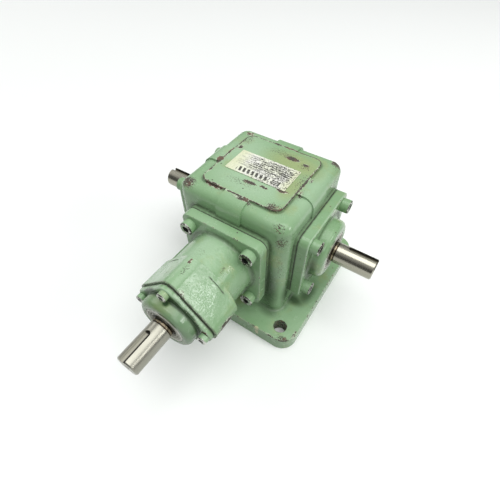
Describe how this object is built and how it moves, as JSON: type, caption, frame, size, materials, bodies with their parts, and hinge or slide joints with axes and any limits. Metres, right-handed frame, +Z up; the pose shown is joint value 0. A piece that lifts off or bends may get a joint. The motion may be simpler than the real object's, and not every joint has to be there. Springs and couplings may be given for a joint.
{
  "type": "miter gearbox",
  "caption": "Right-angle miter gearbox: cast housing on a bolted foot, keyed cross shaft through its sides and a keyed input shaft in a flanged quill.",
  "frame": {"origin": "centre of the foot's bolt pattern, on the foot's underside", "axes": "+Z up, +X along the cross shaft to the gear's side, -Y along the input shaft out of the quill"},
  "size_m": [0.24, 0.2639, 0.1408],
  "materials": {
    "green_paint": "gloss sage green enamel over cast iron, chipped at the edges",
    "screw_steel": "socket head screws under worn green paint",
    "shaft_steel": "bright turned steel",
    "gear_steel": "machined steel with an oil film",
    "bearing_steel": "ground bearing steel",
    "cage_brass": "machined brass",
    "spring_steel": "drawn wire",
    "seal_rubber": "black nitrile rubber over a steel case",
    "gasket_fibre": "compressed fibre sheet",
    "plate_metal": "cream printed aluminium plate, worn and without wording"
  },
  "bodies": {
    "housing": {"gear_housing": "green_paint", "name_plate": "plate_metal", "input_quill": "green_paint", "input_quill_gasket": "gasket_fibre", "input_cover": "green_paint", "input_cover_gasket": "gasket_fibre", "right_cover": "green_paint", "right_cover_gasket": "gasket_fibre", "left_cover": "green_paint", "left_cover_gasket": "gasket_fibre", "input_quill_screws": "screw_steel", "right_cover_screws": "screw_steel", "left_cover_screws": "screw_steel", "input_cover_screws": "screw_steel", "input_oil_seal": "seal_rubber", "input_seal_spring": "spring_steel", "right_oil_seal": "seal_rubber", "right_seal_spring": "spring_steel", "left_oil_seal": "seal_rubber", "left_seal_spring": "spring_steel", "right_bearing_outer_ring": "bearing_steel", "left_bearing_outer_ring": "bearing_steel", "gear_end_bearing_outer_ring": "bearing_steel", "drive_end_bearing_outer_ring": "bearing_steel"},
    "cross_shaft": {"cross_shaft": "shaft_steel", "cross_gear": "gear_steel", "cross_gear_key": "gear_steel", "right_bearing_inner_ring": "bearing_steel", "left_bearing_inner_ring": "bearing_steel"},
    "input_shaft": {"input_shaft": "shaft_steel", "input_gear": "gear_steel", "input_gear_key": "gear_steel", "gear_snap_ring": "gear_steel", "bearing_snap_ring": "gear_steel", "bearing_sleeve": "gear_steel", "gear_end_bearing_inner_ring": "bearing_steel", "drive_end_bearing_inner_ring": "bearing_steel"},
    "right_ball_set": {"right_bearing_balls": "bearing_steel", "right_bearing_cage": "cage_brass"},
    "left_ball_set": {"left_bearing_balls": "bearing_steel", "left_bearing_cage": "cage_brass"},
    "gear_end_ball_set": {"gear_end_bearing_balls": "bearing_steel", "gear_end_bearing_cage": "cage_brass"},
    "drive_end_ball_set": {"drive_end_bearing_balls": "bearing_steel", "drive_end_bearing_cage": "cage_brass"}
  },
  "joints": [
    {"name": "cross_spin", "type": "hinge", "parent": "housing", "child": "cross_shaft", "pos_m": [0, 0, 0.08], "axis": [1, 0, 0], "continuous": true},
    {"name": "input_spin", "type": "hinge", "parent": "housing", "child": "input_shaft", "pos_m": [0, 0, 0.08], "axis": [0, 1, 0], "continuous": true},
    {"name": "right_balls_roll", "type": "hinge", "parent": "housing", "child": "right_ball_set", "pos_m": [0, 0, 0.08], "axis": [1, 0, 0], "continuous": true},
    {"name": "left_balls_roll", "type": "hinge", "parent": "housing", "child": "left_ball_set", "pos_m": [0, 0, 0.08], "axis": [1, 0, 0], "continuous": true},
    {"name": "gear_end_balls_roll", "type": "hinge", "parent": "housing", "child": "gear_end_ball_set", "pos_m": [0, 0, 0.08], "axis": [0, 1, 0], "continuous": true},
    {"name": "drive_end_balls_roll", "type": "hinge", "parent": "housing", "child": "drive_end_ball_set", "pos_m": [0, 0, 0.08], "axis": [0, 1, 0], "continuous": true}
  ],
  "couplings": [
    {"joint": "input_spin", "follows": "cross_spin", "ratio": 1},
    {"joint": "right_balls_roll", "follows": "cross_spin", "ratio": 0.38149},
    {"joint": "left_balls_roll", "follows": "cross_spin", "ratio": 0.38149},
    {"joint": "gear_end_balls_roll", "follows": "cross_spin", "ratio": 0.38149},
    {"joint": "drive_end_balls_roll", "follows": "cross_spin", "ratio": 0.38149}
  ]
}
